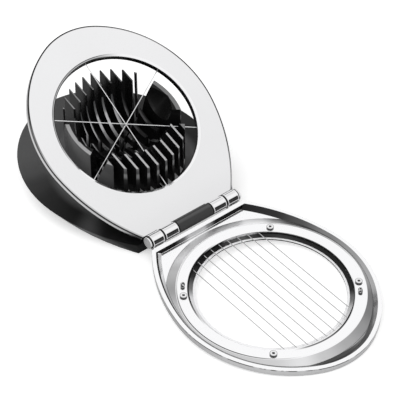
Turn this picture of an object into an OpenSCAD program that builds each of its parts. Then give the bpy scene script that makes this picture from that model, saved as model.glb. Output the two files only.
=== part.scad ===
// Two-way egg slicer: a base with a bladed egg cradle, a wedger plate and a slicing frame on one hinge.
// Millimetres, +Z up. The origin is on the table under the hinge axis, which runs along Y.

/* [Hinge] */
// Height of the hinge axis above the table
hinge_h = 9.9; // [9.6:0.1:10.6]
// Radius of the hinge knuckles
knuckle_r = 3.5; // [3.2:0.1:3.6]
// Diameter of the hinge pin
pin_d = 2.6; // [2:0.1:3.2]
// Running clearance between the pin and the moving knuckles, on the radius
pin_play = 0.05; // [0.03:0.01:0.1]
// Length of the base knuckle in the middle
mid_len = 22.2; // [18:0.2:24]
// Length of each wedger knuckle
inner_len = 9.3; // [8:0.1:10]
// Length of each frame knuckle
outer_len = 8; // [7:0.1:8.4]
// End gap between neighbouring knuckles
knuckle_gap = 0.3; // [0.2:0.05:0.5]
// Radius of the discs that close the ends of the hinge
disc_r = 3.1; // [2.6:0.1:3.2]
// Thickness of the end discs
disc_t = 0.9; // [0.6:0.1:1.2]

/* [Outline] */
// Distance from the hinge axis to the far tip of the wedger plate
plate_len = 121.4; // [119:0.2:126]
// Radius of the far arc
head_r = 39.8; // [38:0.2:42]
// Radius of the side arcs
side_r = 61.6; // [60:0.2:64]
// Radius of the arcs that taper to the hinge
taper_r = 101.3; // [98:0.1:110]
// Angle at which the far arc meets the side arcs
side_from = 25.5; // [23:0.5:28]
// Angle at which the side arcs meet the taper arcs
taper_from = 99.2; // [97:0.2:101]
// Distance from the hinge axis to the straight hinge edge of both leaves
edge_u = 4; // [4:0.1:4.6]

/* [Wedger plate] */
// Distance from the centre of the round holes to the far tip of the wedger plate
seat_tip = 59.4; // [58.8:0.2:60]
// Radius of the hole in the wedger plate
hole_r = 39.4; // [38.6:0.1:40]
// Depth of the plate's top face below the hinge axis
plate_drop = 1.1; // [1:0.1:1.4]
// Overall thickness of the plate
plate_t = 3.9; // [3.7:0.1:4.2]
// Thickness of the plate's top sheet
skin_t = 1.2; // [1:0.1:1.4]
// Thickness of the plate's side wall
wall_t = 1.6; // [1.2:0.1:2]
// Width of the bevel around the plate's hole
hole_bevel = 1.3; // [0.8:0.1:1.6]
// Width of the ring that holds the wedge wires
hold_w = 6.6; // [5.5:0.1:7]
// Rest tilt of the wedger plate
plate_tilt = 30.7; // [25:0.1:35]
// Angle between the middle wedge wire and each outer one
wedge_angle = 61; // [59:0.5:62]

/* [Slicing frame] */
// How far the frame reaches past the plate all round
frame_over = 0.5; // [0.3:0.1:0.8]
// Depth of the frame's outer face below the hinge axis
frame_out = 5.1; // [5:0.1:5.4]
// Depth of the frame's rim below the hinge axis
rim_drop = 1.7; // [1.4:0.1:2]
// Width of the rim's flat top
rim_t = 2.1; // [1.8:0.1:2.3]
// Width of the slope inside the rim
rim_slope = 2.8; // [2.2:0.1:3]
// Width of the rim's flat top at the hinge
hinge_rim = 2.6; // [2:0.1:3]
// Width of the slope inside the rim at the hinge
hinge_slope = 0.6; // [0.4:0.1:1]
// Thickness of the frame's floor
floor_t = 1; // [0.9:0.1:1.2]
// Radius of the hole in the frame
lip_r = 38.2; // [37.6:0.1:38.6]
// Width of the flat lip around the hole
lip_wide = 1.2; // [0.8:0.1:1.6]
// Depth of the lip below the frame's floor
lip_drop = 0.8; // [0.6:0.1:1]
// How far the collar around the hole reaches below the frame
collar = 0.5; // [0.3:0.1:0.6]
// Inner radius of the wire ring
ring_in = 41.5; // [41:0.1:42]
// Outer radius of the wire ring's flat face
ring_out = 48; // [47.4:0.1:48.4]
// Width of the slope around the wire ring
ring_slope = 5; // [4:0.1:5.4]
// Thickness of the wire ring
ring_t = 1.5; // [1.3:0.1:1.8]
// Radius of the circle that the ring screws are on
screw_circle = 44.5; // [44:0.1:45]
// Radius of the ring screw heads
screw_head = 1.9; // [1.5:0.1:2.2]
// Height of the ring screw heads
screw_up = 0.8; // [0.5:0.1:1.1]

/* [Wires] */
// Distance between neighbouring slicing wires
wire_pitch = 5.5; // [5.4:0.05:5.6]
// Diameter of every wire
wire_d = 0.5; // [0.4:0.05:0.6]
// Grip of each wire end in its ring, measured from the ring's inner radius
wire_grip = 2.2; // [1.5:0.1:2.6]

/* [Base] */
// Slope of the deck that the closed leaves lie on
deck_tilt = 4.8; // [4.4:0.1:5.4]
// Gap between neighbouring leaves when they are closed
close_gap = 0.2; // [0.15:0.05:0.4]
// How far the base reaches past the plate all round
base_over = 1.1; // [0.6:0.1:1.6]
// Distance from the hinge axis to the end wall of the base
base_edge = 5.5; // [5.4:0.1:6]
// Thickness of the base walls
base_wall = 2; // [1.6:0.1:2.6]
// Thickness of the deck
deck_t = 2; // [1.6:0.1:2.4]
// Distance from the centre of the holes out to the centre of the foot's round end
foot_ahead = 4; // [1:0.5:7]
// Radius of the foot's round end
foot_r = 46.5; // [44:0.5:49]
// Half width of the foot at the hinge end
foot_edge = 31.9; // [29:0.1:32]

/* [Egg cradle] */
// Distance from the centre of the holes back to the centre of the cradle
cradle_back = 5.2; // [4.6:0.1:5.8]
// Radius of the cradle
cradle_r = 32; // [31:0.1:32.4]
// Height of the cradle's top at its hinge side
cradle_top = 31.7; // [30:0.1:32.4]
// Slope of the cradle's top
top_tilt = 17.4; // [16:0.1:18]
// Width of each slot between the blades, at its bottom
slot = 3.5; // [3:0.1:3.6]
// Draft of the blades' sides, which thin towards the top
fin_draft = 1.2; // [0.8:0.1:1.3]
// Distance from the closed slicing wires to the bottom of the slots
slot_under = 1.6; // [1.2:0.1:2]
// Half width of the wedge wires' grooves
star_gap = 1.1; // [1:0.05:1.4]
// Height of the egg seat's centre
seat_z = 42; // [41:0.5:43]
// Radius of the egg seat
seat_r = 22.5; // [21.5:0.1:23]
// Half length of the egg seat
seat_half = 30; // [29:0.1:30.4]
// Width and thickness of the cradle's flange under the deck
flange = 2.4; // [2:0.1:3]

/* [Hidden] */
$fn = 96;
// Sizes that follow from the ones above
seat_u = plate_len - seat_tip;
cradle_u = seat_u - cradle_back;
foot_u = seat_u + foot_ahead;
head_u = plate_len - head_r;
side_u = head_u + (head_r - side_r) * cos(side_from);
side_v = (head_r - side_r) * sin(side_from);
taper_u = side_u + (side_r - taper_r) * cos(taper_from);
taper_v = side_v + (side_r - taper_r) * sin(taper_from);
plate_w = -plate_drop - plate_t;
deck_w = plate_w - close_gap;
frame_len = plate_len + frame_over;
frame_tilt = asin(hinge_h / norm([frame_len, frame_out])) - atan2(frame_out, frame_len);
floor_w = floor_t - frame_out;
ring_w = floor_w + ring_t;
wire_w = floor_w + ring_t / 2;
hollow_h = -rim_drop - floor_w;
cradle_near = cradle_u - cradle_r;
deck_up = tan(deck_tilt);
slot_z = -wire_w - slot_under;
slot_h = 50;
foot_rise = foot_r - foot_edge;
foot_bow = (pow(foot_u - base_edge, 2) + pow(foot_rise, 2)) / (2 * foot_rise);
seat_bow = (pow(seat_half, 2) + pow(seat_r, 2)) / (2 * seat_r);
mid_end = mid_len / 2;
inner_at = mid_end + knuckle_gap;
outer_at = inner_at + inner_len + knuckle_gap;
hinge_end = outer_at + outer_len + knuckle_gap;
pin_r = pin_d / 2;
// Snug clearance on the radius of parts that are fixed in one another
snug = 0.01;
// Overlap that keeps joined shapes from only touching
lap = 0.5;
// Clearance between the wire ring and the slope inside the frame's rim
ring_play = 0.15;
// Depth of the strap that carries the knuckles along the hinge edge of a leaf
strap = 12;
// Longer than any size of the object
far = 150;
// Thickness of the slabs between which the base is drawn
slab = 0.1;
// Angle that the base's tongue leaves free for the frame's lowest position
tongue_turn = 58;
tongue_len = 5.4;
tongue_foot = 1.5;
// Directions of the ring screws, seen from the hole's centre
screw_turns = [139.6, 57.8, -40.2, -121.4];
anchor_turns = [-130.6, 49];
// Each anchor is a bar with round ends and a hole at either end
anchor_r = 1.1;
anchor_half = 0.9;
anchor_hole = 0.4;
collar_t = 2;
wedge_lap = 0.04;
sleeve_w = 1.4;

module leaf2d(over, edge) {
    translate([head_u, 0]) circle(r = head_r + over);
    span2d(side_u, side_v, side_r + over, edge, head_u + (head_r + over) * cos(side_from));
    span2d(taper_u, taper_v, taper_r + over, edge, side_u + (side_r + over) * cos(taper_from));
    translate([edge, -outer_at - outer_len - over])
        square([edge_u + strap + over - edge, 2 * (outer_at + outer_len + over)]);
}

module span2d(at, side, r, from, to) {
    intersection() {
        translate([at, side]) circle(r = r);
        translate([at, -side]) circle(r = r);
        translate([from, -far / 2]) square([to - from, far]);
    }
}

module foot2d(inset) {
    translate([foot_u, 0]) circle(r = foot_r - inset);
    span2d(foot_u, foot_r - foot_bow, foot_bow - inset, base_edge + inset, foot_u);
}

module on_deck() {
    translate([0, 0, hinge_h]) rotate([0, deck_tilt, 0]) children();
}

module on_plate() {
    translate([0, 0, hinge_h]) rotate([0, plate_tilt, 0]) mirror([1, 0, 0]) children();
}

module on_frame() {
    translate([0, 0, hinge_h]) rotate([0, frame_tilt, 0]) children();
}

module along_hinge(from, len) {
    translate([0, from + len, 0]) rotate([90, 0, 0]) linear_extrude(len) children();
}

module tub(inset, drop) {
    hull() {
        on_deck() translate([0, 0, deck_w - drop - slab]) linear_extrude(slab) mirror([1, 0])
            leaf2d(base_over - inset, base_edge + inset);
        translate([0, 0, inset > 0 ? -1 : 0]) linear_extrude(slab) mirror([1, 0]) foot2d(inset);
    }
}

module base_knuckle2d() {
    deck_z = deck_w / cos(deck_tilt);
    low = knuckle_r * [cos(tongue_turn), -sin(tongue_turn)];
    tip = low - tongue_len * [sin(tongue_turn), cos(tongue_turn)];
    back = base_edge + base_wall;
    circle(r = knuckle_r);
    polygon([
        [-knuckle_r, 0],
        [0, 0],
        low,
        tip,
        [tip[0], tongue_foot - hinge_h],
        [-back, tongue_foot - hinge_h],
        [-back, deck_z + back * deck_up],
        [-knuckle_r, deck_z + knuckle_r * deck_up]
    ]);
}

module drum(r) {
    translate([-cradle_u, 0, -1]) cylinder(r = r, h = far / 2);
}

module base_shell() {
    color([0.16, 0.16, 0.17]) difference() {
        union() {
            difference() {
                tub(0, 0);
                tub(base_wall, deck_t);
            }
            translate([0, 0, hinge_h]) along_hinge(-mid_end, mid_len) base_knuckle2d();
        }
        drum(cradle_r + snug);
        translate([0, 0, hinge_h]) along_hinge(-mid_end - 1, mid_len + 2) circle(r = pin_r + snug);
    }
}

module deck_band(from, to) {
    on_deck() translate([-far, -far / 2, from]) cube([far, far, to - from]);
}

module groove_cone(growth) {
    rise = growth / tan(wedge_angle);
    start = seat_u - star_gap / sin(wedge_angle);
    translate([0, star_gap, hinge_h]) rotate([-90, 0, 0])
        cylinder(r1 = start + rise * star_gap, r2 = start + rise * far / 3, h = far / 3 - star_gap);
}

module groove_plan(growth) {
    rise = growth / tan(wedge_angle);
    start = -seat_u - star_gap / sin(wedge_angle);
    linear_extrude(far / 2) polygon([
        [start - rise * star_gap, star_gap],
        [start - rise * far / 3, far / 3],
        [-far, far / 3],
        [-far, star_gap]
    ]);
}

module cradle_blades() {
    for (side = [0, 1]) mirror([0, side, 0]) {
        intersection() {
            drum(cradle_r);
            groove_cone(-1);
        }
        intersection() {
            groove_plan(-1);
            groove_cone(1);
            drum(cradle_r);
        }
        intersection() {
            drum(cradle_r);
            groove_plan(1);
        }
    }
}

module seat_hollow() {
    translate([-cradle_u, 0, seat_z]) {
        rotate([90, 0, 0]) rotate_extrude() intersection() {
            translate([seat_r - seat_bow, 0]) circle(r = seat_bow);
            translate([0, -far / 2]) square([far / 2, far]);
        }
        linear_extrude(far / 4) intersection() {
            translate([seat_r - seat_bow, 0]) circle(r = seat_bow);
            translate([seat_bow - seat_r, 0]) circle(r = seat_bow);
        }
    }
}

module slot_cut(at) {
    draft = tan(fin_draft);
    translate([0, at, slot_z]) rotate([0, -90, 0]) linear_extrude(far) polygon([
        [0, -slot / 2],
        [0, slot / 2],
        [slot_h, slot / 2 + draft * slot_h],
        [slot_h, -slot / 2 - draft * slot_h]
    ]);
}

module egg_cradle() {
    color([0.06, 0.06, 0.065]) difference() {
        union() {
            intersection() {
                cradle_blades();
                deck_band(deck_w - lap, far / 2);
            }
            intersection() {
                drum(cradle_r);
                deck_band(deck_w - deck_t - flange, deck_w);
            }
            intersection() {
                drum(cradle_r + flange);
                deck_band(deck_w - deck_t - flange, deck_w - deck_t);
            }
        }
        translate([-cradle_near, 0, cradle_top]) rotate([0, top_tilt, 0])
            translate([-far, -far / 2, 0]) cube([2 * far, far, far / 2]);
        seat_hollow();
        on_deck() intersection() {
            for (k = [-4:4]) slot_cut(k * wire_pitch);
            translate([-far, -4 * wire_pitch - slot / 2, slot_z]) cube([far, 8 * wire_pitch + slot, slot_h]);
        }
    }
}

module hinge_pin() {
    color([0.75, 0.76, 0.78]) translate([0, 0, hinge_h]) {
        along_hinge(-hinge_end, 2 * hinge_end + disc_t / 2) circle(r = pin_r);
        along_hinge(-hinge_end - disc_t, disc_t) circle(r = disc_r);
    }
}

module pin_cap() {
    color([0.75, 0.76, 0.78]) translate([0, 0, hinge_h]) difference() {
        along_hinge(hinge_end, disc_t) circle(r = disc_r);
        along_hinge(hinge_end - 1, 1 + disc_t / 2) circle(r = pin_r + snug);
    }
}

module knuckle_pair(at, len, low, high) {
    for (side = [0, 1]) mirror([0, side, 0]) along_hinge(at, len) {
        circle(r = knuckle_r);
        translate([0, low]) square([edge_u + lap, high - low]);
    }
}

module knuckle_bore() {
    along_hinge(-hinge_end - 1, 2 * hinge_end + 2) circle(r = pin_r + pin_play);
}

module wedger_plate() {
    color([0.86, 0.87, 0.88]) on_plate() difference() {
        union() {
            difference() {
                translate([0, 0, plate_w]) linear_extrude(plate_t) leaf2d(0, edge_u);
                translate([0, 0, plate_w - 1]) linear_extrude(1 + plate_t - skin_t)
                    leaf2d(-wall_t, edge_u + wall_t);
            }
            intersection() {
                translate([seat_u, 0, plate_w]) cylinder(r = hole_r + hold_w + sleeve_w, h = plate_t);
                translate([0, 0, plate_w]) linear_extrude(plate_t) leaf2d(0, edge_u);
            }
            knuckle_pair(inner_at, inner_len, -knuckle_r, -plate_drop);
        }
        translate([seat_u, 0, plate_w - 1]) cylinder(r = hole_r + hold_w, h = 1 + plate_t - skin_t);
        translate([seat_u, 0, plate_w]) cylinder(r = hole_r, h = 2 * plate_t);
        translate([seat_u, 0, -plate_drop - skin_t / 2])
            cylinder(r1 = hole_r, r2 = hole_r + 2 * hole_bevel, h = skin_t);
        knuckle_bore();
    }
}

module wedge_line(turn, level, r) {
    reach = hole_r + wire_grip;
    translate([seat_u, 0, plate_w + (plate_t - skin_t) / 2 + level * (wire_d + wedge_lap)])
        rotate([0, 0, turn]) rotate([0, 90, 0]) cylinder(r = r, h = 2 * reach, center = true);
}

module wedger_ring() {
    color([0.8, 0.81, 0.82]) on_plate() difference() {
        translate([seat_u, 0, plate_w]) difference() {
            cylinder(r = hole_r + hold_w - snug, h = plate_t - skin_t);
            translate([0, 0, -1]) cylinder(r = hole_r, h = 2 + plate_t);
        }
        wedge_line(-wedge_angle, 1, wire_d / 2 + snug);
        wedge_line(0, 0, wire_d / 2 + snug);
        wedge_line(wedge_angle, -1, wire_d / 2 + snug);
    }
}

module wedge_wire_1() {
    color([0.78, 0.79, 0.8]) on_plate() wedge_line(-wedge_angle, 1, wire_d / 2);
}

module wedge_wire_2() {
    color([0.78, 0.79, 0.8]) on_plate() wedge_line(0, 0, wire_d / 2);
}

module wedge_wire_3() {
    color([0.78, 0.79, 0.8]) on_plate() wedge_line(wedge_angle, -1, wire_d / 2);
}

module hollow_cone(at, side, r, grow) {
    translate([at, side, 0]) cylinder(r1 = r + grow, r2 = r + grow + rim_slope, h = hollow_h);
}

module cone_span(at, side, r, grow, from, to) {
    intersection() {
        hollow_cone(at, side, r, grow);
        hollow_cone(at, -side, r, grow);
        translate([0, far / 2, 0]) rotate([90, 0, 0]) linear_extrude(far) polygon([
            [from, 0],
            [to, 0],
            [to, hollow_h],
            [from - hinge_slope, hollow_h]
        ]);
    }
}

module frame_hollow(play) {
    top = frame_over - rim_t - play;
    foot = top - rim_slope;
    middle = top - rim_slope / 2;
    edge = edge_u + hinge_rim + play;
    translate([0, 0, -rim_drop]) linear_extrude(1) leaf2d(top, edge);
    translate([0, 0, floor_w]) {
        hollow_cone(head_u, 0, head_r, foot);
        cone_span(side_u, side_v, side_r, foot, edge + hinge_slope,
            head_u + (head_r + middle) * cos(side_from));
        cone_span(taper_u, taper_v, taper_r, foot, edge + hinge_slope,
            side_u + (side_r + middle) * cos(taper_from));
    }
}

module slicer_frame() {
    lip_out = lip_r + lip_wide;
    color([0.88, 0.89, 0.9]) on_frame() difference() {
        union() {
            difference() {
                translate([0, 0, -frame_out]) linear_extrude(frame_out - rim_drop)
                    leaf2d(frame_over, edge_u);
                frame_hollow(0);
            }
            translate([seat_u, 0, -frame_out - collar]) cylinder(r = lip_r + collar_t, h = collar + floor_t / 2);
            knuckle_pair(outer_at, outer_len, -knuckle_r, -rim_drop);
        }
        translate([seat_u, 0, -frame_out - 1]) cylinder(r = lip_r, h = floor_t + 2);
        translate([seat_u, 0, floor_w - lip_drop]) cylinder(r1 = lip_out, r2 = ring_in, h = lip_drop);
        translate([seat_u, 0, floor_w]) cylinder(r = ring_in, h = frame_out);
        at_turns(screw_turns) {
            translate([0, 0, floor_w - floor_t / 2]) cylinder(r = screw_head / 2 + snug, h = floor_t);
            translate([0, 0, floor_w]) cylinder(r = screw_head + ring_play, h = frame_out);
        }
        slice_lines(wire_d / 2 + snug);
        knuckle_bore();
    }
}

module at_turns(turns) {
    for (t = turns) translate([seat_u, 0, 0]) rotate([0, 0, t]) translate([screw_circle, 0, 0]) children();
}

module slice_line(k, r) {
    half = sqrt(pow(ring_in + wire_grip, 2) - pow(k * wire_pitch, 2));
    translate([seat_u, k * wire_pitch, wire_w]) rotate([0, 90, 0])
        cylinder(r = r, h = 2 * half, center = true);
}

module slice_lines(r) {
    for (k = [-4:4]) slice_line(k, r);
}

module wire_ring() {
    color([0.93, 0.93, 0.94]) on_frame() difference() {
        intersection() {
            translate([seat_u, 0, floor_w]) rotate_extrude() polygon([
                [ring_in, 0],
                [ring_out + ring_slope, 0],
                [ring_out, ring_t],
                [ring_in, ring_t]
            ]);
            frame_hollow(ring_play);
        }
        slice_lines(wire_d / 2 + snug);
        at_turns(screw_turns) translate([0, 0, floor_w - 1])
            cylinder(r = screw_head / 2 + snug, h = ring_t + 2);
        at_turns(anchor_turns) translate([0, 0, floor_w + ring_t / 2])
            cylinder(r = anchor_r / 2 + snug, h = ring_t);
    }
}

module cross_cut(r, deep) {
    for (turn = [0, 90]) rotate([0, 0, turn + 45]) translate([-r, -r / 6, -deep])
        cube([2 * r, r / 3, 2 * deep]);
}

module ring_screws() {
    color([0.7, 0.71, 0.73]) on_frame() at_turns(screw_turns) difference() {
        union() {
            translate([0, 0, ring_w]) cylinder(r = screw_head, h = screw_up);
            translate([0, 0, floor_w - floor_t / 2]) cylinder(r = screw_head / 2, h = ring_t + floor_t);
        }
        translate([0, 0, ring_w + screw_up]) cross_cut(screw_head * 0.45, screw_up / 2);
    }
}

module wire_anchors() {
    color([0.7, 0.71, 0.73]) on_frame() at_turns(anchor_turns) {
        translate([0, 0, ring_w]) difference() {
            union() {
                for (side = [-1, 1]) translate([0, side * anchor_half, 0]) cylinder(r = anchor_r, h = screw_up);
                translate([-anchor_r, -anchor_half, 0]) cube([2 * anchor_r, 2 * anchor_half, screw_up]);
            }
            for (side = [-1, 1]) translate([0, side * anchor_half, screw_up / 2])
                cylinder(r = anchor_hole, h = screw_up);
        }
        translate([0, 0, floor_w + ring_t / 2]) cylinder(r = anchor_r / 2, h = ring_t / 2 + lap);
    }
}

module slicing_wire(k) {
    color([0.78, 0.79, 0.8]) on_frame() slice_line(k, wire_d / 2);
}

base_shell();
egg_cradle();
hinge_pin();
pin_cap();
wedger_plate();
wedger_ring();
wedge_wire_1();
wedge_wire_2();
wedge_wire_3();
slicer_frame();
wire_ring();
ring_screws();
wire_anchors();
slicing_wire(-4);  // slicing_wire_1
slicing_wire(-3);  // slicing_wire_2
slicing_wire(-2);  // slicing_wire_3
slicing_wire(-1);  // slicing_wire_4
slicing_wire(0);  // slicing_wire_5
slicing_wire(1);  // slicing_wire_6
slicing_wire(2);  // slicing_wire_7
slicing_wire(3);  // slicing_wire_8
slicing_wire(4);  // slicing_wire_9
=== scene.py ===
"""Materials, stage and camera of the two-way egg slicer.

The CAD nodes keep their shapes and places, and each gets a procedural material. The frame is the
part's own, in metres: +Z up, the origin on the table under the hinge axis, which runs along Y.

Most tones of the steel and plastic are painted reflections, highlights and shade, laid on by place
and direction in that frame at rest, so they move with the bodies. Tones are displayed greys from 0
to 1, and turns are in degrees. A span is a pair of values between which a mask rises from 0 to 1 or
falls from 1 to 0.
"""
import math

import bpy
from mathutils import Matrix, Vector

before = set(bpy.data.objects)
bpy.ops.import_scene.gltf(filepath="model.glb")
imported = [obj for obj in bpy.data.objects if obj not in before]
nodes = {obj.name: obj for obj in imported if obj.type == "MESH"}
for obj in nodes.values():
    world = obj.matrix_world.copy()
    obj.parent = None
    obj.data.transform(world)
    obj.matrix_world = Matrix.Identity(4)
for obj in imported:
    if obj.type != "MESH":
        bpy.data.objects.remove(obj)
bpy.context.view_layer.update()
scene = bpy.context.scene
scene.view_settings.view_transform = "Standard"

X, Y, Z = (1.0, 0.0, 0.0), (0.0, 1.0, 0.0), (0.0, 0.0, 1.0)

# The part's own sizes, as in its source
HINGE = (0.0, 0.0, 0.0099)
PLATE_TILT = math.radians(30.7)
FRAME_TILT = math.radians(2.258)
SEAT_U = 0.062
HEAD_R, SIDE_R, TAPER_R = 0.0398, 0.0616, 0.1013
HEAD_U = 0.0816
SIDE_FROM, TAPER_FROM = math.radians(25.5), math.radians(99.2)
SIDE_U = HEAD_U + (HEAD_R - SIDE_R) * math.cos(SIDE_FROM)
SIDE_V = (HEAD_R - SIDE_R) * math.sin(SIDE_FROM)
TAPER_U = SIDE_U + (SIDE_R - TAPER_R) * math.cos(TAPER_FROM)
TAPER_V = SIDE_V + (SIDE_R - TAPER_R) * math.sin(TAPER_FROM)
WIRE_PITCH = 0.0055
SCREW_CIRCLE = 0.0445
SCREW_TURNS = (139.6, 57.8, -40.2, -121.4)
INNER_KNUCKLE = (0.0114, 0.0207)
OUTER_KNUCKLE = (0.021, 0.029)
FOOT_CENTRE = (-0.066, 0.0, 0.0)
CRADLE_CENTRE = (-0.0568, 0.0, 0.0)
EGG_CENTRE = (-0.0568, 0.0, 0.042)
CRADLE_BROW = (-0.0248, 0.0, 0.0317)

# Normals of the leaves and the cradle's top, and the leaves' directions away from the hinge
PLATE_UP = (math.sin(PLATE_TILT), 0.0, math.cos(PLATE_TILT))
PLATE_OUT = (-math.cos(PLATE_TILT), 0.0, math.sin(PLATE_TILT))
FRAME_UP = (math.sin(FRAME_TILT), 0.0, math.cos(FRAME_TILT))
FRAME_OUT = (math.cos(FRAME_TILT), 0.0, -math.sin(FRAME_TILT))
CRADLE_UP = (0.299, 0.0, 0.9542)

# Span of the cosine to a normal in which a face counts as level with it
LEVEL = (0.9, 0.96)
# Span of a noise's usual values
CLOUD = (0.3, 0.7)
# Stretches that draw a noise out into brush marks, across a leaf or along a wire
BRUSHED = (1.0, 0.05, 1.0)
DRAWN = (0.05, 1.0, 1.0)


def grey(tone):
    """A displayed grey from 0 to 1, as a linear colour with a trace of blue."""
    value = tone / 12.92 if tone <= 0.04045 else ((tone + 0.055) / 1.055) ** 2.4
    return (value, value, value * 1.01)


class Tree:
    """A short way to write the node tree of a material or a world."""

    def __init__(self, owner):
        owner.use_nodes = True
        self.tree = owner.node_tree
        self.tree.nodes.clear()

    def new(self, kind, *inputs):
        """A new node, with its first inputs set or linked."""
        node = self.tree.nodes.new("ShaderNode" + kind)
        for socket, value in zip(node.inputs, inputs):
            self.put(socket, value)
        return node

    def put(self, socket, value):
        if isinstance(value, bpy.types.NodeSocket):
            self.tree.links.new(value, socket)
        elif socket.type == "RGBA":
            socket.default_value = (*value, 1.0)
        else:
            socket.default_value = value

    def math(self, op, *values):
        node = self.new("Math", *values)
        node.operation = op
        return node.outputs[0]

    def times(self, *values):
        out = values[0]
        for value in values[1:]:
            out = self.math("MULTIPLY", out, value)
        return out

    def most(self, *values):
        out = values[0]
        for value in values[1:]:
            out = self.math("MAXIMUM", out, value)
        return out

    def minus(self, a, b):
        return self.math("SUBTRACT", a, b)


class Nodes(Tree):
    """A material with one principled shader."""

    def __init__(self, name):
        self.mat = bpy.data.materials.new(name)
        super().__init__(self.mat)
        self.bsdf = self.new("BsdfPrincipled")
        self.new("OutputMaterial", self.bsdf.outputs[0])
        self.place = self.new("TexCoord").outputs

    def set(self, **values):
        """Sets or links the shader's own inputs."""
        for key, value in values.items():
            self.put(self.bsdf.inputs[key.replace("_", " ")], value)

    def vec(self, op, *values):
        node = self.new("VectorMath", *values)
        node.operation = op
        return node.outputs["Value" if op in ("DOT_PRODUCT", "LENGTH") else "Vector"]

    def ramp(self, value, low, high, a, b):
        """Goes softly from a at low to b at high."""
        node = self.new("MapRange", value, low, high, a, b)
        node.interpolation_type = "SMOOTHSTEP"
        return node.outputs[0]

    def rise(self, value, low, high):
        return self.ramp(value, low, high, 0.0, 1.0)

    def fall(self, value, low, high):
        return self.ramp(value, low, high, 1.0, 0.0)

    def between(self, value, low, high, soft=0.00005):
        """1 from low to high, with edges that are soft by that much to either side."""
        return self.times(self.rise(value, low - soft, low + soft),
                          self.fall(value, high - soft, high + soft))

    def near(self, value, middle, low, high):
        """1 within low of the middle, 0 from high on."""
        return self.fall(self.math("ABSOLUTE", self.minus(value, middle)), low, high)

    def stops(self, value, tones):
        """Greys at the given values, in rising order, with soft steps between them."""
        low, high = tones[0][0], tones[-1][0]
        node = self.new("ValToRGB", self.new("MapRange", value, low, high).outputs[0])
        node.color_ramp.interpolation = "EASE"
        steps = node.color_ramp.elements
        for where, _ in tones[1:-1]:
            steps.new((where - low) / (high - low))
        for step, (_, tone) in zip(steps, tones):
            step.color = (*grey(tone), 1.0)
        return node.outputs[0]

    def mix(self, factor, a, b, blend="MIX"):
        node = self.new("Mix", factor)
        node.data_type = "RGBA"
        node.blend_type = blend
        for socket, value in zip((s for s in node.inputs if s.type == "RGBA"), (a, b)):
            self.put(socket, value)
        return next(s for s in node.outputs if s.type == "RGBA")

    def tint(self, a, b):
        """Multiplies two colours."""
        return self.mix(1.0, a, b, "MULTIPLY")

    def shade(self, colour, cloud, least):
        """Multiplies a colour by least to 1, as a soft noise has it."""
        return self.tint(colour, self.mix(cloud, (least,) * 3, (1.0,) * 3))

    def gloss(self, cloud, low, high):
        """A roughness from low to high, as a soft noise has it."""
        return self.ramp(cloud, *CLOUD, low, high)

    def noise(self, scale, detail=2.0, stretch=None):
        place = self.place["Object"]
        if stretch:
            place = self.vec("MULTIPLY", place, stretch)
        node = self.new("TexNoise", place)
        node.inputs["Scale"].default_value = scale
        node.inputs["Detail"].default_value = detail
        return node.outputs[0]

    def bump(self, height, distance, strength, edge=None):
        """Bumps of up to distance, and sharp edges that look rounded by the radius edge."""
        node = self.new("Bump", strength, distance)
        self.put(node.inputs["Height"], height)
        if edge:
            bevel = self.new("Bevel", edge)
            bevel.samples = 6
            self.put(node.inputs["Normal"], bevel.outputs[0])
        self.set(Normal=node.outputs[0])

    def along(self, axis, origin=(0.0, 0.0, 0.0)):
        """The point's distance from origin along an axis."""
        return self.vec("DOT_PRODUCT", self.vec("SUBTRACT", self.place["Object"], origin), axis)

    def across(self):
        """The point's distance from the part's middle plane."""
        return self.math("ABSOLUTE", self.along(Y))

    def facing(self, axis):
        return self.vec("DOT_PRODUCT", self.place["Normal"], axis)

    def reach(self, a, b):
        return self.math("SQRT", self.math("ADD", self.times(a, a), self.times(b, b)))

    def turn(self, a, b):
        """The direction of (a, b), from -180 to 180."""
        return self.times(self.math("ARCTAN2", b, a), math.degrees(1.0))


class Leaf:
    """Places on a leaf: u from the hinge, v across and w along its normal, r and turn around the
    centre of its hole, and flat, the cosine between a face and the leaf."""

    def __init__(self, n, up, out):
        self.n = n
        self.w = n.along(up, HINGE)
        self.u = n.along(out, HINGE)
        self.v = n.along(Y)
        from_seat = n.minus(self.u, SEAT_U)
        self.r = n.reach(from_seat, self.v)
        self.turn = n.turn(from_seat, self.v)
        self.flat = n.facing(up)

    def inset(self):
        """The distance inside the plate's outline, which is three arcs on either side."""
        head = self.arc(HEAD_U, 0.0, HEAD_R)
        flank = self.arc(SIDE_U, SIDE_V, SIDE_R)
        taper = self.arc(TAPER_U, TAPER_V, TAPER_R)
        past_head = self.past(HEAD_U, 0.0, SIDE_FROM)
        past_flank = self.past(SIDE_U, SIDE_V, TAPER_FROM)
        return self.pick(past_head, head, self.pick(past_flank, flank, taper))

    def from_centre(self, u, v):
        n = self.n
        return n.minus(self.u, u), n.minus(n.math("ABSOLUTE", self.v), v)

    def arc(self, u, v, r):
        """The distance inside the arc of radius r around (u, v)."""
        return self.n.minus(r, self.n.reach(*self.from_centre(u, v)))

    def past(self, u, v, turn):
        """1 where the direction from (u, v) is past the turn, in radians."""
        a, b = self.from_centre(u, v)
        return self.n.math("GREATER_THAN", self.n.math("ARCTAN2", b, a), turn)

    def pick(self, choice, no, yes):
        n = self.n
        return n.math("ADD", n.times(choice, yes), n.times(n.minus(1.0, choice), no))


# Painted reflections of polished steel around a hinge barrel, as light and dark bands by the turn
BARREL_REFLECTIONS = [
    (-180, 0.5), (-60, 0.15), (-12, 0.1), (-6, 0.9), (0, 0.9), (4, 0.12), (18, 0.26), (36, 0.12),
    (41, 0.95), (60, 0.97), (80, 0.88), (95, 0.97), (98, 0.3), (102, 0.3), (106, 0.97), (180, 0.9)]
# The barrel's surface by distance from the hinge axis, and how far past its ends the paint goes
BARREL_EDGE = (0.00352, 0.0036)
BARREL_SLACK = 0.0001
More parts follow.
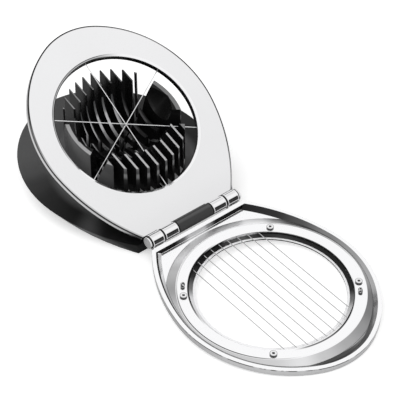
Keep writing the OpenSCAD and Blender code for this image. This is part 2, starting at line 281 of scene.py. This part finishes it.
# Distances from a barrel's end: a dark line of painted shade, and the painted glint behind it
END_SHADE = (0.0003, 0.0005)
END_GLINT = (0.0005, 0.0009)


def barrels(n, colour, first, last):
    """Paints reflections on the hinge barrels that lie from first to last on either side, with
    painted shade and a painted glint at their ends.
    """
    x = n.along(X, HINGE)
    z = n.along(Z, HINGE)
    side = n.across()
    on = n.times(n.fall(n.reach(x, z), *BARREL_EDGE),
                 n.between(side, first - BARREL_SLACK, last + BARREL_SLACK))
    # Painted reflections as bands around the barrel
    tone = n.stops(n.turn(x, z), BARREL_REFLECTIONS)
    # Painted shade as a dark line at each end, by the gap to the next barrel
    line = n.most(n.fall(side, first + END_SHADE[0], first + END_SHADE[1]),
                  n.rise(side, last - END_SHADE[1], last - END_SHADE[0]))
    tone = n.mix(line, tone, grey(0.16))
    # A painted glint just inside that line
    glint = n.most(n.between(side, first + END_GLINT[0], first + END_GLINT[1]),
                   n.between(side, last - END_GLINT[1], last - END_GLINT[0]))
    tone = n.mix(glint, tone, grey(0.95))
    return n.mix(on, colour, tone)


# Painted reflections around the base's wall, lighter at the far end and with a soft painted
# highlight, and painted sheen around its barrel
BASE_WALL_REFLECTIONS = [
    (-180, 0.30), (-128, 0.34), (-112, 0.31), (-98, 0.20), (-84, 0.12), (-62, 0.09), (-52, 0.28),
    (-42, 0.10), (-30, 0.06), (60, 0.06), (110, 0.12), (180, 0.30)]
BASE_BARREL_SHEEN = [
    (-180, 0.1), (-45, 0.1), (-10, 0.18), (20, 0.25), (55, 0.25), (76, 0.34), (88, 0.34),
    (100, 0.22), (112, 0.16), (180, 0.1)]
# The deck around the cradle, by the cosine to up and the distance from the cradle's middle; it is
# painted lighter than the wall, as a painted reflection of the sky, and lighter towards +Y
DECK_LEVEL = (0.85, 0.9)
DECK_EDGE = (0.038, 0.044)
DECK_LIGHT = (-0.02, 0.02)
# The barrel with painted sheen, by distance from the hinge axis and from the middle plane; it is
# darker near its ends
BASE_BARREL_EDGE = (0.00366, 0.00372)
BASE_BARREL_END = (0.0115, 0.0116)
BASE_BARREL_RIM = (0.0108, 0.0112)


def base_plastic():
    n = Nodes("base_plastic")
    cloud = n.noise(40.0, 3.0)
    # Painted reflections around the wall: a lighter far end and a soft painted highlight
    wall = n.stops(n.turn(n.along(X, FOOT_CENTRE), n.along(Y)), BASE_WALL_REFLECTIONS)
    from_cradle = n.reach(n.along(X, CRADLE_CENTRE), n.along(Y))
    deck = n.times(n.rise(n.facing(Z), *DECK_LEVEL), n.fall(from_cradle, *DECK_EDGE))
    # Painted reflection of the sky on the deck, lighter towards +Y
    deck_sheen = n.mix(n.rise(n.along(Y), *DECK_LIGHT), grey(0.37), grey(0.42))
    colour = n.mix(deck, wall, deck_sheen)
    x = n.along(X, HINGE)
    z = n.along(Z, HINGE)
    side = n.across()
    barrel = n.times(n.fall(n.reach(x, z), *BASE_BARREL_EDGE), n.fall(side, *BASE_BARREL_END))
    # Painted sheen around the barrel, darker near its ends
    barrel_sheen = n.stops(n.turn(x, z), BASE_BARREL_SHEEN)
    colour = n.mix(barrel, colour, n.mix(n.rise(side, *BASE_BARREL_RIM), barrel_sheen, grey(0.12)))
    n.set(Base_Color=n.shade(colour, cloud, 0.8), Specular_IOR_Level=0.16)
    n.set(Roughness=n.gloss(cloud, 0.34, 0.42))
    n.bump(n.noise(2600.0), 0.00003, 0.5, 0.0006)
    return n.mat


# Blade tops, painted lighter than the black sides as painted highlights: the end sections lie
# beyond
# BLADE_END, and their painted bright edge beyond SECTION_EDGE
TOP_LEVEL = (0.96, 0.98)
BLADE_END = (0.0237, 0.0239)
BLADE_NEAR = (-0.002, 0.002)
BLADE_LIGHT = (-0.016, 0.010)
SECTION_EDGE = (0.0294, 0.0298)
SECTION_LIGHT = (-0.01, 0.01)
# The far half of the egg seat's hollow, which faces the hinge and is painted lit between the blades
HOLLOW_R = (0.0305, 0.0308)
HOLLOW_FACING = (0.15, 0.3)
HOLLOW_FAR = (-0.006, -0.003)
HOLLOW_TOP = (0.041, 0.0414)
HOLLOW_LIGHT_BY_HEIGHT = [(0.018, 0.28), (0.0215, 0.36), (0.024, 0.6), (0.027, 0.9), (0.031, 0.9),
                    (0.034, 0.55), (0.038, 0.45), (0.042, 0.35)]
HOLLOW_LIGHT_BY_SIDE = [(-0.024, 0.75), (-0.012, 0.85), (0.0, 0.95), (0.006, 0.98), (0.011, 0.4),
                  (0.024, 0.25)]
LIT_PART_OF_PITCH = (0.0026, 0.0031)
LIT_MIDDLE = (-0.0036, 0.009)
LIT_MIDDLE_SOFT = 0.0004
# The cradle's outer wall, with painted highlights: blade ends by depth under its brow, the end
# sections by height
DRUM_WALL = (0.0315, 0.0318)
WALL_FACING = (0.5, 0.8)
WALL_NEAR = (0.0, 0.004)
NEAR_SIDE = (-0.001, 0.0)
BLADE_END_HIGHLIGHTS = [(-0.02, 0.08), (-0.011, 0.12), (-0.0075, 0.2), (-0.0052, 0.5), (-0.0042, 0.5),
              (-0.003, 0.3), (-0.0012, 0.34), (0.0, 0.48)]
SECTION_WALL_LIGHT = [(0.012, 0.22), (0.03, 0.3), (0.045, 0.36)]


def cradle_plastic():
    n = Nodes("cradle_plastic")
    cloud = n.noise(60.0, 3.0)
    x = n.along(X, CRADLE_CENTRE)
    y = n.along(Y)
    z = n.along(Z)
    drum = n.reach(x, y)
    top = n.rise(n.facing(CRADLE_UP), *TOP_LEVEL)
    section = n.rise(n.across(), *BLADE_END)

    # Painted highlights on the blade tops: lighter towards the hinge and towards -Y
    blade_top_highlight = n.mix(n.rise(x, *BLADE_NEAR),
                      n.mix(n.rise(y, *BLADE_LIGHT), grey(0.60), grey(0.34)), grey(0.74))
    colour = n.mix(n.times(top, n.minus(1.0, section)),
                   n.mix(cloud, grey(0.05), grey(0.09)), blade_top_highlight)
    # Painted highlight on the end sections' bright edge, lighter towards -Y
    section_top_highlight = n.mix(n.rise(y, *SECTION_LIGHT), grey(0.66), grey(0.5))
    colour = n.mix(n.times(top, section, n.rise(drum, *SECTION_EDGE)), colour, section_top_highlight)

    from_egg = n.vec("LENGTH", n.vec("SUBTRACT", n.place["Object"], EGG_CENTRE))
    hollow = n.times(n.fall(from_egg, *HOLLOW_R), n.rise(n.facing(X), *HOLLOW_FACING),
                     n.fall(x, *HOLLOW_FAR), n.fall(z, *HOLLOW_TOP))
    in_pitch = n.math("MODULO", n.math("ADD", y, 10 * WIRE_PITCH), WIRE_PITCH)
    lit = n.most(n.fall(in_pitch, *LIT_PART_OF_PITCH), n.between(y, *LIT_MIDDLE, LIT_MIDDLE_SOFT))
    # Painted light on the hollow between the blades, by height and by side
    glow = n.tint(n.stops(z, HOLLOW_LIGHT_BY_HEIGHT), n.stops(y, HOLLOW_LIGHT_BY_SIDE))
    colour = n.mix(n.times(hollow, lit), colour, glow)

    wall = n.rise(drum, *DRUM_WALL)
    blade_wall = n.times(n.rise(n.facing(X), *WALL_FACING), wall, n.rise(x, *WALL_NEAR))
    under_brow = n.along(CRADLE_UP, CRADLE_BROW)
    # Painted highlights on the blade ends, by depth under the brow
    colour = n.mix(blade_wall, colour, n.stops(under_brow, BLADE_END_HIGHLIGHTS))
    section_wall = n.times(section, wall, n.fall(y, *NEAR_SIDE))
    # Painted light on the end sections' wall, lighter upwards
    colour = n.mix(section_wall, colour, n.stops(z, SECTION_WALL_LIGHT))

    n.set(Base_Color=colour, Specular_IOR_Level=0.14)
    n.set(Roughness=n.gloss(cloud, 0.17, 0.26))
    n.bump(n.noise(500.0), 0.00003, 0.3, 0.00035)
    return n.mat


# Walls by the cosine to the plate, the outer wall and the rim line by the inset, the hole and its
# bevel by the radius and the cosine
PLATE_WALL_FACING = (0.35, 0.5)
PLATE_OUTER = (0.0009, 0.0011)
PLATE_RIM = (0.0006, 0.0009)
PLATE_HOLE = (0.0455, 0.0458)
PLATE_BEVEL = (0.5, 0.93)
PLATE_BEVEL_SOFT = 0.02
# Where the bevel mirrors the dark, as rings around the hole
BEVEL_DARK = (-95.0, 18.0)
BEVEL_DARK_SOFT = 14.0
BEVEL_RINGS = [(0.0394, 0.12), (0.0397, 0.14), (0.0399, 0.7), (0.0402, 0.7), (0.0404, 0.3),
               (0.0408, 0.4)]
# Painted reflections along the plate's face, around its rim line, down its outer wall and around
# its hole
PLATE_FACE_REFLECTION = [(0.0, 0.90), (0.02, 0.925), (0.12, 0.945)]
PLATE_RIM_REFLECTION = [
    (-180, 0.75), (-130, 0.8), (-100, 0.85), (-75, 0.5), (-60, 0.14), (-15, 0.12), (10, 0.3),
    (30, 0.4), (50, 0.5), (70, 0.25), (100, 0.22), (126, 0.3), (150, 0.6), (180, 0.75)]
PLATE_WALL_REFLECTION = [(-0.005, 0.72), (-0.0046, 0.84), (-0.0031, 0.8), (-0.0025, 0.12), (-0.0012, 0.08)]
PLATE_HOLE_REFLECTION = [(-180, 0.35), (-120, 0.6), (-60, 0.6), (-20, 0.3), (20, 0.38), (60, 0.42),
                   (110, 0.42), (150, 0.35), (180, 0.35)]


def plate_metal():
    n = Nodes("plate_metal")
    at = Leaf(n, PLATE_UP, PLATE_OUT)
    inset = at.inset()
    cloud = n.noise(25.0, 3.0)
    wall = n.fall(at.flat, *PLATE_WALL_FACING)
    around_hole = n.fall(at.r, *PLATE_HOLE)
    # Painted reflection: the face a little lighter away from the hinge
    colour = n.stops(at.u, PLATE_FACE_REFLECTION)
    rim = n.times(n.rise(at.flat, *LEVEL), n.fall(inset, *PLATE_RIM))
    # Painted reflection as a line around the rim
    colour = n.mix(rim, colour, n.stops(at.turn, PLATE_RIM_REFLECTION))
    outer_wall = n.times(wall, n.fall(inset, *PLATE_OUTER))
    # Painted reflections down the outer wall and around the hole's wall
    colour = n.mix(outer_wall, colour, n.stops(at.w, PLATE_WALL_REFLECTION))
    colour = n.mix(n.times(around_hole, wall), colour, n.stops(at.turn, PLATE_HOLE_REFLECTION))
    bevel = n.times(around_hole, n.between(at.flat, *PLATE_BEVEL, PLATE_BEVEL_SOFT))
    # Painted reflection of the dark in the hole's bevel, as rings
    bevel_reflection = n.mix(n.between(at.turn, *BEVEL_DARK, BEVEL_DARK_SOFT), grey(0.97),
                       n.stops(at.r, BEVEL_RINGS))
    colour = barrels(n, n.mix(bevel, colour, bevel_reflection), *INNER_KNUCKLE)
    n.set(Base_Color=n.shade(colour, cloud, 0.95), Metallic=1.0)
    n.set(Roughness=n.gloss(cloud, 0.16, 0.22))
    n.bump(n.noise(900.0, stretch=BRUSHED), 0.000004, 0.4, 0.0003)
    return n.mat


# Painted reflections around the slope that joins the wire ring to the frame's floor
SKIRT_REFLECTIONS = [
    (-180, 1.0), (-156, 1.0), (-144, 0.8), (-128, 0.65), (-111, 0.77), (-95, 0.83), (-64, 0.8),
    (-41, 0.82), (-24, 0.9), (-11, 0.79), (6, 0.68), (20, 0.6), (34, 0.5), (46, 0.48), (60, 0.64),
    (74, 0.68), (88, 0.6), (104, 0.53), (118, 0.4), (128, 0.5), (136, 0.75), (145, 1.0),
    (180, 1.0)]

# Inside the rim by the inset, slopes and walls by the cosine to the frame, the floor by w
FRAME_INSIDE = (0.0009, 0.0012)
FRAME_SLOPE = (0.2, 0.9)
FRAME_SLOPE_SOFT = 0.03
FRAME_WALL_FACING = (0.2, 0.3)
FRAME_FLOOR = (-0.0038, -0.0036)
# The skirt's painted reflections go on over the floor, out to the slope
SKIRT_OVER = (0.0514, 0.0518)
SKIRT_OVER_TURNS = (-42.0, 48.0)
SKIRT_OVER_SOFT = 14.0
# A painted shadow on the floor at the slope's foot, in the slope's tones, outside a radius. It
# grows with the turn as the FROM span below says (first turn, last turn, first radius, last
# radius), less what the BACK span says in the same way
FLOOR_SHADOW_TURNS = (-36.0, 26.0)
FLOOR_SHADOW_TURNS_SOFT = 3.0
FLOOR_SHADOW_FROM = (-36.0, 16.0, 0.05085, 0.0535)
FLOOR_SHADOW_BACK = (16.0, 27.0, 0.0, 0.0020)
FLOOR_SHADOW_EDGE = (-0.0002, 0.0003)
# Painted reflections around the frame's inner slope
FRAME_SLOPE_REFLECTIONS = [
    (-180, 0.12), (-150, 0.12), (-120, 0.16), (-60, 0.4), (-36, 0.5), (-24, 0.45), (-12, 0.3),
    (2, 0.3), (12, 0.42), (18, 0.5), (30, 0.56), (42, 0.62), (54, 0.67), (67, 0.66), (83, 0.6),
    (104, 0.5), (123, 0.32), (137, 0.2), (160, 0.12), (180, 0.12)]
# The near slope is painted white under its dark upper edge, as a painted reflection of the white
# around it
NEAR_SLOPE_TURNS = (-165.0, -52.0)
NEAR_SLOPE_SOFT = 8.0
NEAR_SLOPE_TOP = (-0.0027, -0.0024)
# Painted reflections around the rim's outer wall, with a broken dark line along its top
FRAME_SIDE_REFLECTIONS = [(-180, 0.5), (-145, 0.6), (-125, 0.55), (-100, 0.66), (-60, 0.78), (0, 0.8),
              (60, 0.7), (180, 0.6)]
FRAME_SIDE_TOP = (-0.0024, -0.0022)
BROKEN = (0.42, 0.5)
# The lip around the hole, the cone above it and the hole's wall, with painted reflections and
# highlights by the turn on the cone and the wall
LIP_R = (0.0393, 0.04155)
LIP_W = (-0.00495, -0.0049)
LIP_LEVEL = (0.5, 0.52)
LEDGE_R = (0.0400, 0.0402)
CONE_FACING = (0.5, 0.97)
CONE_SOFT = 0.02
CONE_REFLECTIONS = [
    (-180, 0.16), (-156, 0.15), (-144, 0.25), (-132, 0.5), (-120, 0.9), (20, 0.95), (32, 0.85),
    (44, 0.5), (54, 0.2), (84, 0.18), (108, 0.2), (132, 0.28), (146, 0.22), (164, 0.4),
    (173, 0.3), (180, 0.16)]
BORE_R = (0.0383, 0.0385)
BORE_REFLECTIONS = [
    (-180, 0.25), (-168, 0.5), (-156, 0.8), (-140, 0.95), (40, 0.95), (54, 0.7), (70, 0.3),
    (84, 0.2), (100, 0.16), (120, 0.2), (134, 0.2), (144, 0.12), (154, 0.3), (165, 0.6),
    (174, 0.4), (180, 0.25)]
# The steep wall under the rim on the hinge side, dark with a painted light patch, by place across
HINGE_WALL_FACING = (0.5, 0.7)
HINGE_WALL_U = (0.009, 0.010)
HINGE_WALL_W = (-0.0017, -0.0016)
HINGE_WALL_REFLECTION = [(-0.05, 0.04), (-0.018, 0.05), (-0.0125, 0.35), (-0.007, 0.75), (0.0015, 0.75),
              (0.005, 0.5), (0.010, 0.06), (0.05, 0.04)]
# The rim on the hinge side is crowned, so that it mirrors the sky and not the plate
HINGE_RIM_U = (0.0072, 0.0075)
HINGE_RIM_W = (-0.0020, -0.0018)
CROWN_U = (0.0037, 0.0074)
CROWN_SLOPE = -0.47


def frame_metal():
    n = Nodes("frame_metal")
    at = Leaf(n, FRAME_UP, FRAME_OUT)
    cloud = n.noise(25.0, 3.0)
    inside = n.rise(at.inset(), *FRAME_INSIDE)
    level = n.rise(at.flat, *LEVEL)
    wall = n.fall(at.flat, *FRAME_WALL_FACING)
    floor = n.times(level, n.fall(at.w, *FRAME_FLOOR))
    slope = n.times(n.between(at.flat, *FRAME_SLOPE, FRAME_SLOPE_SOFT), inside)

    # Level faces painted lighter than the rest, as a painted reflection of the sky
    colour = n.mix(level, grey(0.9), grey(0.985))
    skirt = n.times(floor, n.rise(at.r, *SKIRT_OVER),
                    n.between(at.turn, *SKIRT_OVER_TURNS, SKIRT_OVER_SOFT))
    # Painted reflections of the skirt, going on over the floor
    colour = n.mix(skirt, colour, n.stops(at.turn, SKIRT_REFLECTIONS))
    # Painted reflections around the slope
    slope_reflection = n.stops(at.turn, FRAME_SLOPE_REFLECTIONS)
    colour = n.mix(slope, colour, slope_reflection)
    # Painted shadow on the floor at the slope's foot, in the slope's tones
    shadow_r = n.minus(n.ramp(at.turn, *FLOOR_SHADOW_FROM), n.ramp(at.turn, *FLOOR_SHADOW_BACK))
    floor_shadow = n.times(floor, n.rise(n.minus(at.r, shadow_r), *FLOOR_SHADOW_EDGE),
                   n.between(at.turn, *FLOOR_SHADOW_TURNS, FLOOR_SHADOW_TURNS_SOFT))
    colour = n.mix(floor_shadow, colour, slope_reflection)
    # Painted white reflection on the near slope
    near_slope = n.times(slope, n.between(at.turn, *NEAR_SLOPE_TURNS, NEAR_SLOPE_SOFT),
                         n.fall(at.w, *NEAR_SLOPE_TOP))
    colour = n.mix(near_slope, colour, grey(0.97))

    top_line = n.times(n.rise(at.w, *FRAME_SIDE_TOP), n.rise(n.noise(260.0), *BROKEN))
    # Painted reflections on the rim's outer wall, with its broken dark line
    side_tone = n.mix(top_line, n.stops(at.turn, FRAME_SIDE_REFLECTIONS), grey(0.3))
    colour = n.mix(n.times(wall, n.minus(1.0, inside)), colour, side_tone)
    lip = n.times(n.between(at.r, *LIP_R), n.rise(at.w, *LIP_W))
    cone = n.times(lip, n.between(at.flat, *CONE_FACING, CONE_SOFT))
    # Painted reflections and highlights on the cone and on the hole's wall
    colour = n.mix(cone, colour, n.stops(at.turn, CONE_REFLECTIONS))
    bore = n.times(wall, n.fall(at.r, *BORE_R))
    colour = n.mix(bore, colour, n.stops(at.turn, BORE_REFLECTIONS))
    hinge_wall = n.times(n.rise(n.facing(FRAME_OUT), *HINGE_WALL_FACING), inside,
                         n.fall(at.u, *HINGE_WALL_U), n.fall(at.w, *HINGE_WALL_W))
    # Painted light patch on the hinge-side wall
    colour = n.mix(hinge_wall, colour, n.stops(at.v, HINGE_WALL_REFLECTION))
    colour = barrels(n, colour, *OUTER_KNUCKLE)

    hinge_rim = n.times(n.fall(at.u, *HINGE_RIM_U), n.rise(at.w, *HINGE_RIM_W))
    ledge = n.most(n.fall(at.r, *LEDGE_R), n.times(lip, n.rise(at.flat, *LIP_LEVEL)))
    matt = n.most(n.times(hinge_rim, 0.3), ledge)
    n.set(Base_Color=n.shade(colour, cloud, 0.96), Metallic=1.0)
    n.set(Roughness=n.math("ADD", n.gloss(cloud, 0.10, 0.16), n.times(matt, 0.5)))
    on_crown = n.math("MINIMUM", n.most(at.u, CROWN_U[0]), CROWN_U[1])
    brush = n.times(n.noise(900.0, stretch=BRUSHED), 0.0000012)
    n.bump(n.math("ADD", brush, n.times(on_crown, CROWN_SLOPE)), 1.0, 1.0, 0.0003)
    return n.mat


# Where the ring's flat face turns into its skirt
RING_SKIRT = (0.0480, 0.0482)
# The ring's inner wall, and the strip at its foot, with painted reflections: light on the near
# side, white for a stretch at the hinge side and dark elsewhere
RING_WALL_FACING = (0.2, 0.4)
RING_WALL_R = (0.0417, 0.0419)
RING_WALL_REFLECTIONS = [
    (-180, 0.4), (-166, 0.22), (-144, 0.2), (-120, 0.35), (-104, 0.5), (-90, 0.85), (8, 0.95),
    (18, 0.7), (28, 0.3), (55, 0.2), (72, 0.3), (90, 0.6), (140, 0.7), (168, 0.85), (180, 0.4)]
RING_FOOT = (-0.0033, -0.0029)
FOOT_NEAR_TURNS = (-128.0, 30.0)
FOOT_NEAR_SOFT = 8.0
FOOT_WHITE_TURNS = (150.0, 174.0)
FOOT_WHITE_SOFT = 4.0
# A painted reflection as a grey line around the face's outer edge
RING_OUTLINE_R = (0.0473, 0.0479)
RING_OUTLINE_REFLECTION = [
    (-180, 0.88), (-134, 0.85), (-118, 0.6), (-100, 0.4), (-66, 0.36), (-50, 0.5), (-36, 0.8),
    (-22, 0.98), (74, 0.98), (90, 0.75), (108, 0.6), (122, 0.6), (136, 0.8), (150, 0.92),
    (180, 0.88)]
# Painted shade as dark lines on the face along its inner edge: one on the right, whose radius
# changes with the turn as the floor shadow's does, and one on the left, which fades
RING_FACE = (0.4, 0.6)
RIGHT_LINE_TURNS = (-22.0, 60.0)
RIGHT_LINE_SOFT = 6.0
RIGHT_LINE_R = (0.0, 48.0, 0.0425, 0.0414)
RIGHT_LINE_WIDTH = (0.0002, 0.0007)
RIGHT_LINE_SHADE = [(-30, 0.75), (-12, 0.45), (0, 0.4), (10, 0.2), (22, 0.08), (48, 0.1), (66, 0.15)]
LEFT_LINE_TURNS = (-172.0, -98.0)
LEFT_LINE_SOFT = 8.0
LEFT_LINE_R = 0.0418
LEFT_LINE_WIDTH = (0.0003, 0.0007)
LEFT_LINE_FADE = (-120.0, -98.0)


def ring_metal():
    n = Nodes("ring_metal")
    at = Leaf(n, FRAME_UP, FRAME_OUT)
    cloud = n.noise(25.0, 3.0)
    skirt = n.rise(at.r, *RING_SKIRT)
    wall = n.times(n.fall(at.flat, *RING_WALL_FACING), n.fall(at.r, *RING_WALL_R))
    face = n.rise(at.flat, *RING_FACE)

    # Painted reflections on the skirt
    colour = n.mix(skirt, grey(0.985), n.stops(at.turn, SKIRT_REFLECTIONS))
    colour = n.mix(n.between(at.r, *RING_OUTLINE_R), colour, n.stops(at.turn, RING_OUTLINE_REFLECTION))
    right_r = n.ramp(at.turn, *RIGHT_LINE_R)
    # Painted shade as a dark line on the right
    right_line = n.times(n.near(at.r, right_r, *RIGHT_LINE_WIDTH),
                         n.between(at.turn, *RIGHT_LINE_TURNS, RIGHT_LINE_SOFT), face)
    colour = n.mix(right_line, colour, n.stops(at.turn, RIGHT_LINE_SHADE))
    # Painted shade as a dark line on the left, fading
    left_line = n.times(n.near(at.r, LEFT_LINE_R, *LEFT_LINE_WIDTH),
                        n.between(at.turn, *LEFT_LINE_TURNS, LEFT_LINE_SOFT), face)
    left_shade = n.mix(n.rise(at.turn, *LEFT_LINE_FADE), grey(0.08), grey(0.6))
    colour = n.mix(left_line, colour, left_shade)

    # Painted reflections on the wall and its foot
    foot = n.mix(n.between(at.turn, *FOOT_WHITE_TURNS, FOOT_WHITE_SOFT), grey(0.13), grey(1.0))
    foot = n.mix(n.between(at.turn, *FOOT_NEAR_TURNS, FOOT_NEAR_SOFT), foot, grey(0.95))
    wall_reflection = n.mix(n.rise(at.w, *RING_FOOT), foot, n.stops(at.turn, RING_WALL_REFLECTIONS))
    colour = n.mix(wall, colour, wall_reflection)

    n.set(Base_Color=n.shade(colour, cloud, 0.96), Metallic=1.0)
    matt = n.most(n.times(skirt, 0.2), n.times(wall, 0.4))
    n.set(Roughness=n.math("ADD", n.gloss(cloud, 0.14, 0.2), matt))
    n.bump(n.noise(900.0, stretch=BRUSHED), 0.000004, 0.3, 0.0002)
    return n.mat


# The pin's near end, by the cosine to its direction
NEAR_END = (0.8, 0.9)
TOWARDS_NEAR_END = (0.0, -1.0, 0.0)


def hinge_steel():
    n = Nodes("hinge_steel")
    cloud = n.noise(80.0, 3.0)
    colour = n.mix(n.rise(n.facing(TOWARDS_NEAR_END), *NEAR_END), grey(0.9), grey(0.7))
    n.set(Base_Color=n.shade(colour, cloud, 0.9), Metallic=1.0)
    n.set(Roughness=n.gloss(cloud, 0.16, 0.24))
    n.bump(n.noise(1500.0), 0.000004, 0.4, 0.0002)
    return n.mat


# The tops of the screws and the anchors by w, and the screws' painted shade in the cross and grey
# rim by distance from their centres
HEAD_TOP = (-0.0020, -0.0019)
SCREW_CROSS_SHADE = (0.0005, 0.0009)
SCREW_EDGE = (0.0015, 0.0018)
ANCHOR_GLINT = (0.5, 0.6)


def small_steel(n, face):
    """Sets the steel of the screws and the anchors: the tops as given, the sides painted dark as
    shade.
    """
    cloud = n.noise(150.0, 3.0)
    top = n.times(n.rise(n.facing(FRAME_UP), *LEVEL), n.rise(n.along(FRAME_UP, HINGE), *HEAD_TOP))
    n.set(Base_Color=n.shade(n.mix(top, grey(0.3), face), cloud, 0.85), Metallic=1.0)
    n.set(Roughness=n.gloss(cloud, 0.2, 0.32))
    n.bump(n.noise(2500.0), 0.000005, 0.5, 0.00015)
    return n.mat


def screw_steel():
    n = Nodes("screw_steel")
    u = n.along(FRAME_OUT, HINGE)
    v = n.along(Y)
    from_screw = 1.0
    for turn in map(math.radians, SCREW_TURNS):
        screw_u = SEAT_U + SCREW_CIRCLE * math.cos(turn)
        screw_v = SCREW_CIRCLE * math.sin(turn)
        from_this = n.reach(n.minus(u, screw_u), n.minus(v, screw_v))
        from_screw = n.math("MINIMUM", from_screw, from_this)
    # Painted shade in the cross cut, and a grey rim at the head's edge
    face = n.mix(n.rise(from_screw, *SCREW_CROSS_SHADE), grey(0.4), grey(0.96))
    face = n.mix(n.rise(from_screw, *SCREW_EDGE), face, grey(0.6))
    return small_steel(n, face)


def anchor_steel():
    n = Nodes("anchor_steel")
    # Painted glints on the anchors' tops
    face = n.mix(n.rise(n.noise(900.0, 1.0), *ANCHOR_GLINT), grey(0.4), grey(0.85))
    return small_steel(n, face)


def wire_steel(name, tone):
    n = Nodes(name)
    drawn = n.noise(700.0, stretch=DRAWN)
    n.set(Base_Color=n.mix(drawn, grey(tone - 0.06), grey(tone + 0.04)), Metallic=1.0)
    n.set(Roughness=n.gloss(drawn, 0.22, 0.34))
    n.bump(drawn, 0.000003, 0.4)
    return n.mat


def dress():
    """Gives each CAD node its material."""
    looks = {
        "base_shell": base_plastic(),
        "egg_cradle": cradle_plastic(),
        "wedger_plate": plate_metal(),
        "slicer_frame": frame_metal(),
        "wire_ring": ring_metal(),
        "hinge_pin": hinge_steel(),
        "ring_screws": screw_steel(),
        "wire_anchors": anchor_steel(),
        # The slicing wires' steel is painted darker than the wedge wire's, as painted shade
        "slicing_wire": wire_steel("slicing_wire_steel", 0.74),
        "wedge_wire": wire_steel("wedge_wire_steel", 0.92),
    }
    looks["wedger_ring"] = looks["wedger_plate"]
    looks["pin_cap"] = looks["hinge_pin"]
    for name, node in nodes.items():
        node.data.materials.clear()
        node.data.materials.append(looks[name.rstrip("_123456789")])


FLOOR_HALF = 1.6
FLOOR_DROP = 0.0002
FLOOR_COLOUR = (0.86, 0.86, 0.86)
# The floor's glow, as the camera sees it and as the metal mirrors it. It lights nothing
FLOOR_SEEN = 0.45
FLOOR_MIRRORED = 0.15
# The sky's strength as a light, and as the white backdrop that is seen and mirrored
SKY_LIGHT = 0.5
SKY_SEEN = 1.0
WHITE = (1.0, 1.0, 1.0)


def stage_floor():
    mesh = bpy.data.meshes.new("floor")
    corners = [(a * FLOOR_HALF, b * FLOOR_HALF, 0) for a, b in ((-1, -1), (1, -1), (1, 1), (-1, 1))]
    mesh.from_pydata(corners, [], [(0, 1, 2, 3)])
    floor = bpy.data.objects.new("floor", mesh)
    floor.location.z = -FLOOR_DROP
    scene.collection.objects.link(floor)
    mat = bpy.data.materials.new("floor")
    n = Tree(mat)
    ray = n.new("LightPath").outputs
    seen = n.most(ray["Is Camera Ray"], ray["Is Transmission Ray"])
    mirrored = n.times(ray["Is Glossy Ray"], FLOOR_MIRRORED)
    level = n.math("MULTIPLY_ADD", seen, FLOOR_SEEN, mirrored)
    diffuse = n.new("BsdfDiffuse", FLOOR_COLOUR)
    glow = n.new("Emission", WHITE, level)
    both = n.new("AddShader", diffuse.outputs[0], glow.outputs[0])
    n.new("OutputMaterial", both.outputs[0])
    floor.data.materials.append(mat)


def stage_world():
    world = bpy.data.worlds.new("studio")
    scene.world = world
    n = Tree(world)
    ray = n.new("LightPath").outputs
    seen = n.most(ray["Is Camera Ray"], ray["Is Glossy Ray"], ray["Is Transmission Ray"])
    light = n.new("Background", WHITE, SKY_LIGHT)
    backdrop = n.new("Background", WHITE, SKY_SEEN)
    either = n.new("MixShader", seen, light.outputs[0], backdrop.outputs[0])
    n.new("OutputWorld", either.outputs[0])


def lamp(name, at, size, power):
    """A round soft lamp that looks at the origin and isn't mirrored in the metal."""
    data = bpy.data.lights.new(name, "AREA")
    data.shape = "DISK"
    data.size = size
    data.energy = power
    obj = bpy.data.objects.new(name, data)
    scene.collection.objects.link(obj)
    obj.location = at
    obj.visible_glossy = False
    obj.rotation_euler = (-Vector(at)).to_track_quat("-Z", "Y").to_euler()


# The photo's camera: its direction in degrees, and its place from the origin along its own axes
CAMERA_AZ = 50.164
CAMERA_EL = 40.953
CAMERA_RIGHT, CAMERA_UP, CAMERA_BACK = 0.00707, 0.01335, 0.9201
CAMERA_LENS = 158.4
CAMERA_SENSOR = 36
CAMERA_SHIFT = (-0.01633, 0.01744)
CAMERA_CLIP = 0.01


def camera():
    az, el = math.radians(CAMERA_AZ), math.radians(CAMERA_EL)
    ahead = Vector((-math.sin(az) * math.cos(el), math.cos(az) * math.cos(el), -math.sin(el)))
    right = Vector((math.cos(az), math.sin(az), 0))
    up = right.cross(ahead)
    eye = right * CAMERA_RIGHT + up * CAMERA_UP - ahead * CAMERA_BACK
    data = bpy.data.cameras.new("camera")
    data.sensor_width = CAMERA_SENSOR
    data.lens = CAMERA_LENS
    data.shift_x, data.shift_y = CAMERA_SHIFT
    data.clip_start = CAMERA_CLIP
    obj = bpy.data.objects.new("camera", data)
    scene.collection.objects.link(obj)
    turn = Matrix((right, up, -ahead)).transposed().to_4x4()
    obj.matrix_world = Matrix.Translation(eye) @ turn
    scene.camera = obj


dress()
stage_floor()
stage_world()
lamp("key", (-0.5, -0.5, 0.9), 1.4, 6)
lamp("fill", (0.8, -0.2, 0.7), 1.0, 3)
camera()
